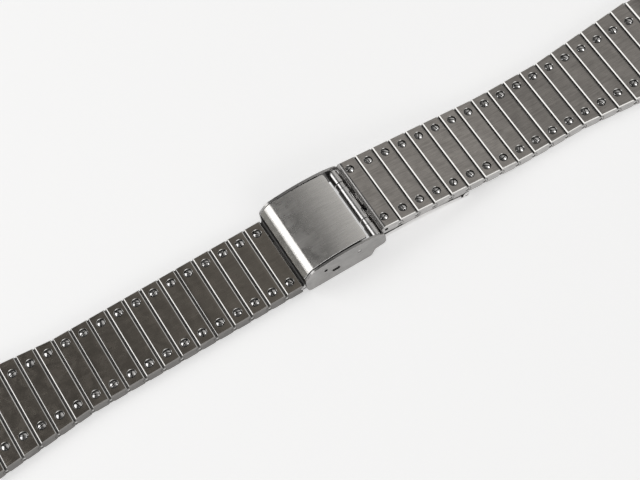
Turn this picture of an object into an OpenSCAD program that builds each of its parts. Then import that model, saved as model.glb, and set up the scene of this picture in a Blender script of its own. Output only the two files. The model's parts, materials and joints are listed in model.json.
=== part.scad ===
// Steel watch bracelet lying closed on a table, clasp in the middle.
// X runs along the strap, Y across it, Z up. The table is z = 0.
// All lengths are millimetres.

/* [Strap] */
// Width of the strap beside the clasp
strap_w = 16; // [15:0.5:20]
// Distance between two neighbouring hinge pins
link_pitch = 3.6; // [3.5:0.05:4.2]
// Thickness of a link
link_t = 2; // [1.95:0.05:2.4]
// Gap between the tops of two neighbouring links
link_gap = 0.2; // [0.18:0.02:0.3]
// Polished bevel along the two cross edges of a link
link_bevel = 0.25; // [0.1:0.05:0.3]
// Polished bevel along the two long edges of a link
side_bevel = 0.15; // [0.05:0.05:0.25]
// Radius of a link's lower corners
link_round = 0.8; // [0.6:0.05:0.8]
// Links on each side of the clasp
links_per_side = 18; // [14:1:18]
// Links that keep the narrow width before the strap flares
straight_links = 12; // [8:1:14]
// Gain of width over one flared link
flare = 0.7; // [0:0.1:1]

/* [Link hinges] */
// Radius of a link's hinge pin
pin_r = 0.35; // [0.3:0.01:0.38]
// Height of the hinge pins above the underside of a link
pin_z = 0.85; // [0.82:0.01:0.9]
// Radius of the knuckle round a hinge pin
knuckle_r = 0.65; // [0.6:0.01:0.67]
// Half the length of the middle knuckle
knuckle_half = 3; // [2:0.1:4]
// Clearance round a knuckle in its pocket
knuckle_gap = 0.1; // [0.06:0.01:0.12]
// Running clearance of a knuckle on its pin
run_gap = 0.05; // [0.03:0.01:0.06]
// Clearance of a piece pressed or screwed into a hole
seat_gap = 0.01; // [0.01:0.005:0.02]
// How far a pin ends below the side face of its link
pin_inset = 0.1; // [0.05:0.05:0.3]

/* [Link screws] */
// Distance across the strap between the two screws of a link
screw_spread = 11.9; // [10:0.1:13]
// Radius of a screw's head
screw_head_r = 0.66; // [0.55:0.01:0.7]
// Radius of the sunk ring round the head
screw_well_r = 0.8; // [0.75:0.01:0.9]
// Depth of the sunk ring
screw_well_depth = 0.3; // [0.2:0.05:0.4]
// Height of the rim of the head above its seat
screw_rim = 0.12; // [0.08:0.02:0.16]
// Radius of the domed top of the head
screw_dome_r = 1.45; // [1.3:0.05:1.8]
// Radius of the shank
screw_shank_r = 0.42; // [0.35:0.01:0.45]
// Length of the shank below the head
screw_shank_len = 1; // [0.8:0.05:1.2]
// Width of the slot
slot_w = 0.18; // [0.12:0.02:0.24]
// Depth of the slot below the top of the head
slot_depth = 0.16; // [0.1:0.02:0.2]
// Turn of the slot from one link to the next
slot_turn = 47; // [0:1:90]

/* [Clasp] */
// Width of the clasp over its side walls
clasp_w = 17.1; // [16.9:0.1:21]
// Thickness of a side wall
wall_t = 0.5; // [0.4:0.05:0.55]
// Length of the clasp from its nose to the cover's rear edge
cover_len = 13.8; // [13.6:0.1:14]
// Gap between the cover and each wall at the nose
cover_gap = 0.1; // [0.06:0.02:0.2]
// How much wider that gap is at the cover's rear edge
cover_taper = 0.2; // [0:0.05:0.3]
// Radius of the cover's rear corners
cover_corner_r = 0.5; // [0.2:0.1:1]
// Thickness of the cover
cover_t = 0.6; // [0.5:0.05:0.7]
// Height of the cover's crown above the table
crown_z = 6.2; // [6.1:0.05:6.4]
// Distance of the crown behind the nose
crown_x = 8.6; // [8:0.1:9]
// Radius of the cover's arch
cover_arch_r = 40; // [36:1:60]
// Radius of the bend over the nose
nose_bend_r = 1.9; // [1.6:0.1:2.2]
// Where the nose bend meets the arch
nose_end_x = 2.4; // [2.2:0.05:2.6]
// Slope of the nose
nose_angle = 45; // [40:1:50]
// Height of the nose's lower edge
nose_z = 4; // [3.8:0.05:4.2]
// Underside of the web that joins the side walls
web_z = 4.72; // [4.7:0.01:4.76]
// Thickness of the web
web_t = 0.35; // [0.3:0.01:0.38]
// Front and rear edge of the web
web_x = [2.8, 12.6];
// Width of the two rails under the cover
rail_w = 1.2; // [0.8:0.1:2]
// How far a wall's top edge lies below the cover's surface
wall_drop = 0.12; // [0.05:0.01:0.3]
// Thickness left of a wall behind its inner relief
tail_t = 0.33; // [0.3:0.01:0.35]
// Radius of a wall's lower front corner
wall_foot_r = 1.1; // [0.8:0.1:1.3]
// Where the step in a wall's lower edge begins and ends
step_x = [13.3, 14.6];
// Height of that step
step_h = 1.5; // [1.3:0.05:1.6]
// Radius of a wall's lower rear corner
tail_r = 1; // [0.8:0.1:1]
// Centre of that corner
tail_c = [15.8, 2.6];
// Points of a wall's rear edge and of its top edge behind the cover
wall_rear = [[16.8, 4.2], [16.6, 4.7], [16.25, 5.05], [15.7, 5.3], [14.9, 5.5]];

/* [Clasp hinge and leaves] */
// Distance of the clasp hinge behind the nose
hinge_x = 15.4; // [15.3:0.05:15.5]
// Height of the clasp hinge
hinge_z = 3.8; // [3.75:0.05:3.85]
// Radius of the clasp hinge pin
hinge_pin_r = 0.5; // [0.4:0.02:0.52]
// Radius of the clasp hinge's knuckles
hinge_knuckle_r = 1.1; // [1.05:0.01:1.12]
// Distance of the leaf hinge behind the nose
fold_x = 34.2; // [34:0.1:34.3]
// Radius of the leaf hinge's knuckles, which rest on the table
fold_r = 0.75; // [0.7:0.01:0.76]
// Radius of the leaf hinge's pin
fold_pin_r = 0.35; // [0.3:0.01:0.38]
// Radius of the arch of both leaves
leaf_arch_r = 70; // [60:1:90]
// Height of the outer leaf's underside at the clasp hinge
leaf_z = 2.35; // [2.3:0.05:2.4]
// Thickness of a leaf
leaf_t = 0.4; // [0.35:0.05:0.45]
// Clearance between the two folded leaves
leaf_gap = 0.1; // [0.06:0.02:0.12]
// Height of the outer leaf's side rails
leaf_rail_h = 0.95; // [0.8:0.05:1]
// Thickness of the side rails
leaf_rail_t = 0.45; // [0.35:0.05:0.6]
// Clearance beside a leaf
leaf_side_gap = 0.1; // [0.08:0.01:0.15]
// Inner and outer edge of the two catch hooks, from the middle
hook_y = [3.85, 5.05];
// Clearance beside a hook
hook_gap = 0.12; // [0.08:0.02:0.16]
// Outer radius of a catch hook
hook_r = 1; // [0.9:0.02:1.02]

/* [Strap hinge on the inner leaf] */
// Distance of the strap hinge behind the nose
strap_hinge_x = 17.4; // [17.3:0.05:17.5]
// Height of the strap hinge
strap_hinge_z = 4.9; // [4.85:0.05:5]
// Radius of the strap hinge's pin
strap_pin_r = 0.3; // [0.25:0.01:0.32]
// Radius of the two ears that carry it
ear_r = 0.6; // [0.55:0.01:0.62]
// Inner and outer edge of an ear, from the middle
ear_y = [1.4, 2.8];
// Half the length of the pin
strap_pin_half = 5.2; // [4:0.1:5.3]
// Distance from the strap hinge to the first link's outer pin
first_link_len = 2.8; // [2.8:0.05:3.2]
// Slope of the links that lie over the folded leaves
strap_slope = 7.6; // [7.4:0.1:7.8]
// Links that keep this slope
sloping_links = 8; // [8:1:8]
// Distance of the first right link's screws behind the strap hinge
first_screw_x = 0.7; // [0.6:0.05:0.8]

/* [Adjuster] */
// Distance of the used adjuster hole behind the nose
adjust_x = 11.35; // [11:0.05:11.4]
// Distance of the free adjuster hole behind the nose
spare_x = 4.35; // [4:0.05:4.8]
// Height of the adjuster holes
adjust_z = 3.75; // [3.7:0.01:3.76]
// Radius of the tongue's eye
eye_r = 0.88; // [0.84:0.01:0.88]
// Centre of the oval tool window in each wall
window_pos = [6.3, 2.45];
// Length of the tool window
window_len = 1.7; // [1.2:0.1:2]
// Height of the tool window
window_h = 1; // [0.8:0.1:1.2]
// Clearance beside the tongue
tongue_side_gap = 0.2; // [0.1:0.05:0.3]
// How far the tongue is cut in beside the adjuster bar's tips
tongue_notch = 1.8; // [1.6:0.1:2.5]
// Distance of the tongue's outer pin before the nose
tongue_pin_x = 0.2; // [0.18:0.01:0.25]
// Thickness of the tongue
tongue_t = 1.2; // [1:0.05:1.2]

/* [Spring bars] */
// Radius of a lug bar's barrel
lug_barrel_r = 0.9; // [0.88:0.01:0.92]
// Radius of the shaft behind a lug bar's tip
lug_shaft_r = 0.6; // [0.58:0.01:0.62]
// How far that shaft stands out of the end piece
lug_shaft_reach = 0.05; // [0.02:0.01:0.08]
// Radius of a lug bar's tips
lug_tip_r = 0.4; // [0.35:0.01:0.42]
// Reach of a lug bar's tip past the end piece
lug_tip_reach = 1.1; // [0.8:0.05:1.2]
// Radius of the adjuster bar's barrel
adjust_barrel_r = 0.6; // [0.55:0.01:0.62]
// Radius of the shaft behind an adjuster bar's tip
adjust_shaft_r = 0.36; // [0.35:0.01:0.37]
// Radius of the adjuster bar's tips
adjust_tip_r = 0.33; // [0.3:0.01:0.34]
// Wall of a barrel
barrel_wall = 0.17; // [0.14:0.01:0.18]
// Length of a barrel's closed-in mouth
mouth_len = 0.35; // [0.3:0.05:0.5]
// How far a lug bar's barrel ends inside the end piece
barrel_inset = 0.3; // [0.2:0.05:0.4]
// Clearance beside the adjuster bar's barrel
barrel_side_gap = 0.1; // [0.05:0.05:0.2]
// Clearance of a tip in the barrel's mouth
slip_gap = 0.02; // [0.01:0.01:0.04]
// Chamfer at the end of a tip
tip_chamfer = 0.08; // [0.05:0.01:0.1]
// Grooves of a spring
spring_turns = 24; // [16:1:40]
// Wall of a spring
spring_wire = 0.16; // [0.12:0.01:0.18]
// Length of a tip's head inside the barrel
tip_head_len = 0.6; // [0.5:0.05:0.8]

/* [End pieces] */
// Distance between the lugs of the watch case
lug_w = 18; // [17:0.5:22]
// Clearance between the end piece and each lug
lug_gap = 0.1; // [0.05:0.05:0.2]
// Distance from the last hinge pin to the lug bar
end_len = 5.2; // [5:0.1:6]
// Radius of the tube round the lug bar
end_tube_r = 1.3; // [1.25:0.05:1.5]
// Distance from the last hinge pin to the end of the shoulders
shoulder_len = 3.3; // [3:0.1:3.6]

/* [Hidden] */
$fn = 48;
arch_steps = 24;
bend_steps = 8;
tiny = 0.01;
steel = [0.72, 0.72, 0.71];
polished = [0.85, 0.85, 0.84];
dark_steel = [0.5, 0.5, 0.5];

// Strap
strap_half = strap_w / 2;
slope_step = link_pitch * sin(strap_slope);
pocket_r = knuckle_r + knuckle_gap;
screw_y = screw_spread / 2;

// Width at a place that is s links away from the clasp
function half_w(s) = strap_half + flare / 2 * max(0, s - straight_links);

// Clasp
wall_out = clasp_w / 2;
wall_in = wall_out - wall_t;
cover_half = wall_in - cover_gap;
hinge = [hinge_x, hinge_z];
fold = [fold_x, fold_r];
strap_hinge = [strap_hinge_x, strap_hinge_z];
arch_c = [crown_x, crown_z - cover_arch_r];
arch_angle = asin((crown_x - nose_end_x) / cover_arch_r);
bend_c = arch_c + (cover_arch_r - nose_bend_r) * [-sin(arch_angle), cos(arch_angle)];
nose_top = bend_c + nose_bend_r * [-sin(nose_angle), cos(nose_angle)];
nose_run = (nose_top[1] - nose_z) / tan(nose_angle);
nose_tip = [nose_top[0] - nose_run, nose_z];
function cover_top(x) = arch_c[1] + sqrt(pow(cover_arch_r, 2) - pow(x - crown_x, 2));

// Leaves: both are rings about one centre below the clasp
leaf_half = wall_in - leaf_side_gap;
inner_leaf_half = leaf_half - leaf_rail_t - leaf_side_gap;
leaf_a = [hinge_x, leaf_z];
leaf_b = [fold_x, 0];
leaf_chord = norm(leaf_b - leaf_a);
leaf_tilt = atan2(leaf_b[1] - leaf_a[1], leaf_b[0] - leaf_a[0]);
leaf_drop = sqrt(pow(leaf_arch_r, 2) - pow(leaf_chord / 2, 2));
leaf_c = (leaf_a + leaf_b) / 2 + leaf_drop * [sin(leaf_tilt), -cos(leaf_tilt)];
inner_leaf_r = leaf_arch_r + leaf_t + leaf_gap;
fold_clear = fold_r + knuckle_gap;
strap_lift = link_t / 2;

// Right half of the strap: heading of each link and place of its inner pin
slope_left = first_right_pin()[1] - (sloping_links - 1) * slope_step - pin_z;
last_slope = asin(slope_left / link_pitch);
function rot2(v, a) = [v[0] * cos(a) - v[1] * sin(a), v[0] * sin(a) + v[1] * cos(a)];
function first_right_pin() = strap_hinge + rot2([first_link_len, pin_z - strap_lift], -strap_slope);
function heading(k) = k <= sloping_links ? -strap_slope : k == sloping_links + 1 ? -last_slope : 0;
function right_pin(k) = k <= 1 ? first_right_pin() : right_pin(k - 1) + rot2([link_pitch, 0], heading(k));
function left_pin(k) = [-tongue_pin_x - k * link_pitch, pin_z];

// The origin is at the middle of the whole strap
end_reach = end_len + end_tube_r;
x_low = left_pin(links_per_side)[0] - end_reach;
x_high = right_pin(links_per_side)[0] + end_reach;
x_mid = (x_low + x_high) / 2;

// Lug bars
end_half = lug_w / 2 - lug_gap;
lug_barrel_half = end_half - barrel_inset;
adjust_barrel_half = wall_in - barrel_side_gap;
eye_half = wall_in - tongue_side_gap;

function two_digits(k) = k < 10 ? str("0", k) : str(k);
function left_name(k) = str("left_link_", two_digits(k));
function right_name(k) = str("right_link_", two_digits(k));
BARS = ["adjuster_bar", "left_lug_bar", "right_lug_bar"];

// A round bar along Y at place p of the X-Z plane
module bar(p, r, y0, y1) {
    translate([p[0], y0, p[1]]) rotate([-90, 0, 0]) cylinder(r = r, h = y1 - y0);
}

// An outline of the X-Z plane, extruded along Y
module slab(y0, y1) {
    translate([0, y1, 0]) rotate([90, 0, 0]) linear_extrude(y1 - y0) children();
}

module both_sides() {
    children();
    mirror([0, 1, 0]) children();
}

// Side outline of a link whose pins are len apart
module link_outline(len) {
    x0 = link_gap / 2;
    w = len - link_gap;
    translate([x0, link_round]) square([w, link_t - link_round - link_bevel]);
    translate([x0 + link_round, 0]) square([w - 2 * link_round, link_round + tiny]);
    for (x = [x0 + link_round, x0 + w - link_round]) translate([x, link_round]) circle(link_round);
    polygon([[x0, link_t - link_bevel - tiny], [x0, link_t - link_bevel], [x0 + link_bevel, link_t],
             [x0 + w - link_bevel, link_t], [x0 + w, link_t - link_bevel],
             [x0 + w, link_t - link_bevel - tiny]]);
}

// Everything inside the two side faces of link k, bevelled along their top edges
module link_plan(k, len) {
    h0 = half_w(k - 1);
    h1 = half_w(k);
    past = 2;
    grow = (h1 - h0) / len;
    a = [h0 - grow * past, h1 + grow * past];
    difference() {
        translate([0, 0, -1]) linear_extrude(link_t + 2)
            polygon([[-past, -a[0]], [len + past, -a[1]], [len + past, a[1]], [-past, a[0]]]);
        both_sides() translate([0, h0, link_t - side_bevel]) rotate([0, 0, atan(grow)])
            rotate([45, 0, 0]) translate([-2 * past, 0, -1]) cube([len + 4 * past, 2, 4]);
    }
}

// Screw just above its seat, which is z = 0
module screw(turn) {
    top = screw_rim + screw_dome_r - sqrt(pow(screw_dome_r, 2) - pow(screw_head_r, 2));
    translate([0, 0, seat_gap]) difference() {
        union() {
            intersection() {
                cylinder(r = screw_head_r, h = top);
                translate([0, 0, top - screw_dome_r]) sphere(screw_dome_r, $fn = 64);
            }
            translate([0, 0, -screw_shank_len]) cylinder(r = screw_shank_r, h = screw_shank_len + tiny);
        }
        rotate([0, 0, turn]) translate([-1, -slot_w / 2, top - slot_depth]) cube([2, slot_w, 1]);
    }
}

module screw_places(x) {
    for (y = [-screw_y, screw_y]) translate([x, y, link_t - screw_well_depth]) children();
}

module screw_holes(x) {
    screw_places(x) {
        cylinder(r = screw_well_r, h = 1);
        translate([0, 0, -screw_shank_len - 2 * seat_gap]) cylinder(r = screw_shank_r + 2 * seat_gap, h = 1.5);
    }
}

// Knuckles of link k round its outer pin, with the hole for the pin
module outer_end(k, len) {
    both_sides() bar([len, pin_z], knuckle_r, knuckle_half + knuckle_gap, half_w(k) + 1);
}

module outer_end_cuts(len) {
    bar([len, pin_z], pocket_r, -knuckle_half - knuckle_gap / 2, knuckle_half + knuckle_gap / 2);
    bar([len, pin_z], pin_r + seat_gap, -20, 20);
}

// Pin in the outer end of link k
module link_pin(k, len) {
    h = half_w(k) - pin_inset;
    bar([len, pin_z], pin_r, -h, h);
}

// Link k of a strap half in its own frame: inner pin at x = 0, underside at z = 0
module strap_link(k) {
    x = link_pitch / 2;
    color(steel) difference() {
        intersection() {
            union() {
                slab(-20, 20) link_outline(link_pitch);
                bar([0, pin_z], knuckle_r, -knuckle_half, knuckle_half);
                outer_end(k, link_pitch);
            }
            link_plan(k, link_pitch);
        }
        both_sides() bar([0, pin_z], pocket_r, knuckle_half + knuckle_gap / 2, 20);
        bar([0, pin_z], pin_r + run_gap, -20, 20);
        outer_end_cuts(link_pitch);
        screw_holes(x);
    }
    color(polished) link_pin(k, link_pitch);
    color(polished) screw_places(x) screw(slot_turn * k % 180);
}

// First link on the right: a round bar end that turns on the inner leaf's ears
module first_link() {
    c = [0, strap_lift];
    color(steel) difference() {
        intersection() {
            union() {
                slab(-20, 20) intersection() {
                    translate([-link_t, 0]) link_outline(first_link_len + link_t);
                    union() {
                        translate(c) circle(link_t / 2);
                        translate([0, -1]) square([first_link_len, link_t + 2]);
                    }
                }
                outer_end(1, first_link_len);
            }
            link_plan(1, first_link_len);
        }
        both_sides() {
            bar(c, ear_r + knuckle_gap, ear_y[0] - knuckle_gap / 2, ear_y[1] + knuckle_gap / 2);
            slab(ear_y[0] - knuckle_gap / 2, ear_y[1] + knuckle_gap / 2)
                translate(c) polygon([[0, 0], [-1.5, 0.72], [-1.5, -2], [0.75, -2], [0.75, -0.1]]);
        }
        bar(c, strap_pin_r + run_gap, -20, 20);
        outer_end_cuts(first_link_len);
        screw_holes(first_screw_x);
    }
    color(polished) link_pin(1, first_link_len);
    color(polished) screw_places(first_screw_x) screw(slot_turn / 2);
}

// Left half runs along -X from the tongue, right half along +X from the inner leaf
module left_link(k) {
    p = left_pin(k - 1);
    translate([p[0] - x_mid, 0, p[1] - pin_z]) mirror([1, 0, 0]) strap_link(k);
}

module right_frame(k) {
    p = k == 1 ? strap_hinge : right_pin(k - 1);
    drop = k == 1 ? strap_lift : pin_z;
    translate([p[0] - x_mid, 0, p[1]]) rotate([0, -heading(k), 0]) translate([0, 0, -drop]) children();
}

module right_link(k) {
    right_frame(k) {
        if (k == 1) first_link();
        else strap_link(k);
    }
}

// End piece in the frame of the last link's outer pin
module end_piece() {
    c = [end_len, end_tube_r];
    h = half_w(links_per_side);
    color(steel) difference() {
        union() {
            intersection() {
                union() {
                    slab(-20, 20) intersection() {
                        link_outline(end_len + 3);
                        square([shoulder_len, 10]);
                    }
                    bar([0, pin_z], knuckle_r, -knuckle_half, knuckle_half);
                }
                link_plan(links_per_side, link_pitch);
                translate([-2, -h, -1]) cube([20, 2 * h, 10]);
            }
            slab(-end_half, end_half) polygon([[shoulder_len - 1, 0], [c[0], 0],
                [c[0], 2 * end_tube_r], [c[0] - 0.4, 2 * end_tube_r], [shoulder_len - 0.2, link_t],
                [shoulder_len - 1, link_t]]);
            bar(c, end_tube_r, -end_half, end_half);
        }
        both_sides() bar([0, pin_z], pocket_r, knuckle_half + knuckle_gap / 2, 20);
        bar([0, pin_z], pin_r + run_gap, -20, 20);
        bar(c, lug_barrel_r + run_gap, -20, 20);
    }
}

module left_end_frame() {
    p = left_pin(links_per_side);
    translate([p[0] - x_mid, 0, p[1] - pin_z]) mirror([1, 0, 0]) children();
}

module right_end_frame() {
    p = right_pin(links_per_side);
    translate([p[0] - x_mid, 0, p[1] - pin_z]) children();
}

// Spring bar pieces about the Y axis. A tip's head rests behind the mouth of the barrel.
function bore_r(barrel_r) = barrel_r - barrel_wall;

module y_turn(pts) {
    rotate([-90, 0, 0]) rotate_extrude() polygon(pts);
}

module barrel(r, half, shaft_r) {
    mouth = shaft_r + slip_gap;
    color(polished) difference() {
        bar([0, 0], r, -half, half);
        bar([0, 0], bore_r(r), -half + mouth_len, half - mouth_len);
        bar([0, 0], mouth, -half - 1, half + 1);
    }
}

module tip(r, half, shaft_r, step_y, tip_r, reach_y) {
    y0 = half - mouth_len - tip_head_len;
    y1 = half - mouth_len - slip_gap;
    head_r = bore_r(r) - slip_gap;
    color(polished) y_turn([[0, y0], [head_r, y0], [head_r, y1], [shaft_r, y1],
        [shaft_r, step_y], [tip_r, step_y], [tip_r, reach_y - tip_chamfer],
        [tip_r - tip_chamfer, reach_y], [0, reach_y]]);
}

// The coil spring inside, as a sleeve of its size with its turns as grooves
module bar_spring(r, half) {
    h = half - mouth_len - tip_head_len - slip_gap;
    step = 2 * h / spring_turns;
    ro = bore_r(r) - 2 * slip_gap;
    ri = ro - spring_wire;
    color(dark_steel) y_turn(concat(
        [for (i = [0:spring_turns - 1]) for (q = [0, 1]) [ro - q * spring_wire / 2, -h + step * (i + q / 2)]],
        [[ro, h], [ri, h], [ri, -h]]));
}

module bar_piece(piece, r, half, shaft_r, step_y, tip_r, reach_y) {
    if (piece == "barrel") barrel(r, half, shaft_r);
    if (piece == "spring") bar_spring(r, half);
    if (piece == "front_tip") mirror([0, 1, 0]) tip(r, half, shaft_r, step_y, tip_r, reach_y);
    if (piece == "rear_tip") tip(r, half, shaft_r, step_y, tip_r, reach_y);
}

module adjuster_bar(piece) {
    translate([adjust_x - x_mid, 0, adjust_z])
        bar_piece(piece, adjust_barrel_r, adjust_barrel_half, adjust_shaft_r, adjust_barrel_half,
            adjust_tip_r, wall_out - pin_inset);
}

module lug_bar(piece) {
    translate([end_len, 0, end_tube_r])
        bar_piece(piece, lug_barrel_r, lug_barrel_half, lug_shaft_r, end_half + lug_shaft_reach,
            lug_tip_r, end_half + lug_tip_reach);
}

// Side outline of a clasp wall
module wall_outline() {
    front = nose_tip[0];
    bend_r = nose_bend_r - wall_drop;
    foot = [front + wall_foot_r, wall_foot_r];
    step_len = step_x[1] - step_x[0];
    n = 8;
    polygon(concat(
        [for (i = [0:n]) foot - wall_foot_r * [cos(90 * i / n), sin(90 * i / n)]],
        [for (i = [0:n]) [step_x[0] + step_len * i / n, step_h / 2 * (1 - cos(180 * i / n))]],
        [for (i = [0:n]) tail_c + tail_r * [sin(90 * i / n), -cos(90 * i / n)]],
        wall_rear,
        [for (x = [cover_len:-1:nose_end_x + 1]) [x, cover_top(x) - wall_drop]],
        [for (i = [0:n]) let (a = arch_angle + (nose_angle - arch_angle) * i / n)
            bend_c + bend_r * [-sin(a), cos(a)]],
        [nose_tip + wall_drop * [sin(nose_angle), -cos(nose_angle)], [front, nose_z - cover_t]]));
}

module clasp_channel() {
    relief_y = wall_out - tail_t;
    boss_r = hinge_knuckle_r + 0.08;
    color(steel) translate([-x_mid, 0, 0]) difference() {
        union() {
            both_sides() slab(wall_in, wall_out) wall_outline();
            translate([web_x[0], -wall_in - tiny, web_z])
                cube([web_x[1] - web_x[0], 2 * (wall_in + tiny), web_t]);
        }
        both_sides() {
            difference() {
                translate([hinge_x - 0.2, wall_in - 1, 0]) cube([5, relief_y - wall_in + 1, 10]);
                bar(hinge, boss_r, 0, 20);
            }
            bar(hinge, hinge_pin_r + seat_gap, wall_in - 1, wall_in + wall_t / 2);
            for (x = [adjust_x, spare_x]) bar([x, adjust_z], adjust_tip_r + 0.03, wall_in - 1, wall_out + 1);
            for (s = [-1, 1]) bar(window_pos + [s * (window_len - window_h) / 2, 0], window_h / 2,
                wall_in - 1, wall_out + 1);
            translate([window_pos[0] - (window_len - window_h) / 2, wall_in - 1, window_pos[1] - window_h / 2])
                cube([window_len - window_h, wall_t + 2, window_h]);
        }
    }
}

// Points of an arc in the X-Z plane, with its angles measured from +Z towards -X
function arc(c, r, from, to, steps) =
    [for (i = [0:steps]) let (a = from + (to - from) * i / steps) c + r * [-sin(a), cos(a)]];

// Side outline of the cover: arch, nose bend and sloping nose
module cover_outline() {
    rear_angle = -asin((cover_len - crown_x) / cover_arch_r);
    inner_bend_r = nose_bend_r - cover_t;
    inward = cover_t * [sin(nose_angle), -cos(nose_angle)];
    past_seam = 1;
    polygon(concat(
        arc(arch_c, cover_arch_r, rear_angle, arch_angle, arch_steps),
        arc(bend_c, nose_bend_r, arch_angle + past_seam, nose_angle, bend_steps),
        [nose_tip, nose_tip + inward],
        arc(bend_c, inner_bend_r, nose_angle, arch_angle + past_seam, bend_steps),
        arc(arch_c, cover_arch_r - cover_t, arch_angle, rear_angle, arch_steps)));
}

// Everything beside the cover, which is narrower towards its rounded rear corners
module beside_cover() {
    front = -3;
    wider = cover_taper * (cover_len - front) / cover_len;
    rear_half = cover_half - cover_taper;
    corner = [cover_len, rear_half] - [cover_corner_r, cover_corner_r];
    n = 6;
    translate([0, 0, -1]) linear_extrude(2 * crown_z) polygon(concat(
        [[front, 20], [front, rear_half + wider]],
        [for (i = [0:n]) corner + cover_corner_r * [sin(90 * i / n), cos(90 * i / n)]],
        [[cover_len + 1, corner[1]], [cover_len + 1, 20]]));
}

module clasp_cover() {
    y1 = cover_half - cover_taper - cover_corner_r;
    color(steel) translate([-x_mid, 0, 0]) {
        difference() {
            slab(-wall_in, wall_in) cover_outline();
            both_sides() beside_cover();
        }
        both_sides() slab(y1 - rail_w, y1) difference() {
            translate([web_x[0] + 0.3, web_z + web_t]) square([web_x[1] - web_x[0] - 0.6, 1]);
            translate(arch_c) difference() {
                circle(cover_arch_r + 10, $fn = 360);
                circle(cover_arch_r - cover_t / 2, $fn = 360);
            }
        }
    }
}

module clasp_hinge_pin() {
    h = wall_in + wall_t / 2 - 0.02;
    color(polished) translate([-x_mid, 0, 0]) bar(hinge, hinge_pin_r, -h, h);
}

// Part of a leaf's ring from r0 to r1 between two places along X
module leaf_outline(r0, r1, x0, x1) {
    intersection() {
        translate(leaf_c) difference() {
            circle(r1, $fn = 720);
            circle(r0, $fn = 720);
        }
        translate([x0, -1]) square([x1 - x0, 6]);
    }
}

module outer_leaf() {
    r0 = leaf_arch_r;
    r1 = r0 + leaf_t;
    notch = [hook_y[0] - hook_gap, hook_y[1] + hook_gap];
    x0 = hinge_x + 0.2;
    color(steel) translate([-x_mid, 0, 0]) difference() {
        union() {
            slab(-leaf_half, leaf_half) leaf_outline(r0, r1, x0, fold_x);
            both_sides() slab(leaf_half - leaf_rail_t, leaf_half)
                leaf_outline(r0, r0 + leaf_rail_h, hinge_x + 1.3, fold_x - 1.2);
            bar(hinge, hinge_knuckle_r, -leaf_half, leaf_half);
            slab(-leaf_half, leaf_half) polygon([[hinge_x, hinge_z - hinge_knuckle_r],
                [hinge_x + 0.7, hinge_z - 0.8], [hinge_x + 1.2, leaf_z], [hinge_x + 0.2, leaf_z]]);
            bar(fold, fold_r, -leaf_half, leaf_half);
        }
        bar(hinge, hinge_pin_r + run_gap, -20, 20);
        both_sides() translate([0, notch[0], 0]) cube([hinge_x + 1.9, notch[1] - notch[0], 20]);
        bar(fold, fold_clear, -knuckle_half - knuckle_gap / 2, knuckle_half + knuckle_gap / 2);
        bar(fold, fold_pin_r + seat_gap, -20, 20);
    }
}

module leaf_hinge_pin() {
    h = leaf_half - 0.05;
    color(polished) translate([-x_mid, 0, 0]) bar(fold, fold_pin_r, -h, h);
}

// One catch hook and the arm that joins it to the inner leaf
module hook_outline() {
    difference() {
        union() {
            intersection() {
                translate(hinge) circle(hook_r);
                translate(hinge) polygon([[-2, 0.1], [-2, 2], [2, 2], [2, -0.9], [0, 0]]);
            }
            polygon([hinge + [0.5, -0.25], hinge + [0.85, 0.3], hinge + [2.7, -0.4], hinge + [2.7, -0.75],
                hinge + [1.6, -0.85]]);
        }
        translate(hinge) circle(hinge_pin_r + run_gap);
    }
}

// One ear that rises from the inner leaf to the strap hinge
module ear_outline() {
    translate(strap_hinge) circle(ear_r);
    foot = inner_leaf_top(strap_hinge_x) - leaf_t / 2;
    polygon([strap_hinge + [-0.3, 0], [strap_hinge_x - 0.2, foot], [strap_hinge_x + 0.6, foot],
        strap_hinge + [0.3, 0]]);
}

function inner_leaf_top(x) = leaf_c[1] + sqrt(pow(inner_leaf_r + leaf_t, 2) - pow(x - leaf_c[0], 2));

module inner_leaf() {
    x0 = hinge_x + hinge_knuckle_r + 0.1;
    x1 = fold_x - fold_clear;
    color(steel) translate([-x_mid, 0, 0]) difference() {
        union() {
            slab(-inner_leaf_half, inner_leaf_half) leaf_outline(inner_leaf_r, inner_leaf_r + leaf_t, x0, x1);
            slab(-knuckle_half, knuckle_half)
                leaf_outline(inner_leaf_r, inner_leaf_r + leaf_t, x1 - 0.5, fold_x);
            bar(fold, fold_r, -knuckle_half, knuckle_half);
            both_sides() {
                slab(hook_y[0], hook_y[1]) hook_outline();
                slab(ear_y[0], ear_y[1]) ear_outline();
            }
        }
        bar(fold, fold_pin_r + run_gap, -20, 20);
        bar(strap_hinge, strap_pin_r + seat_gap, -20, 20);
    }
}

module strap_hinge_pin() {
    color(polished) translate([-x_mid, 0, 0]) bar(strap_hinge, strap_pin_r, -strap_pin_half, strap_pin_half);
}

// The tongue joins the left half to the adjuster bar inside the clasp
module tongue_outline() {
    x0 = -tongue_pin_x + link_gap / 2;
    top = adjust_z + tongue_t / 2;
    translate([x0 + link_round, link_round]) circle(link_round);
    polygon([[x0, link_round], [x0, link_t - link_bevel], [x0 + link_bevel, link_t], [1.6, link_t], [4.8, top],
        [adjust_x, top], [adjust_x, top - tongue_t], [5.4, top - tongue_t], [2, 0.2],
        [x0 + link_round, 0], [x0 + link_round, link_round]]);
}

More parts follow.
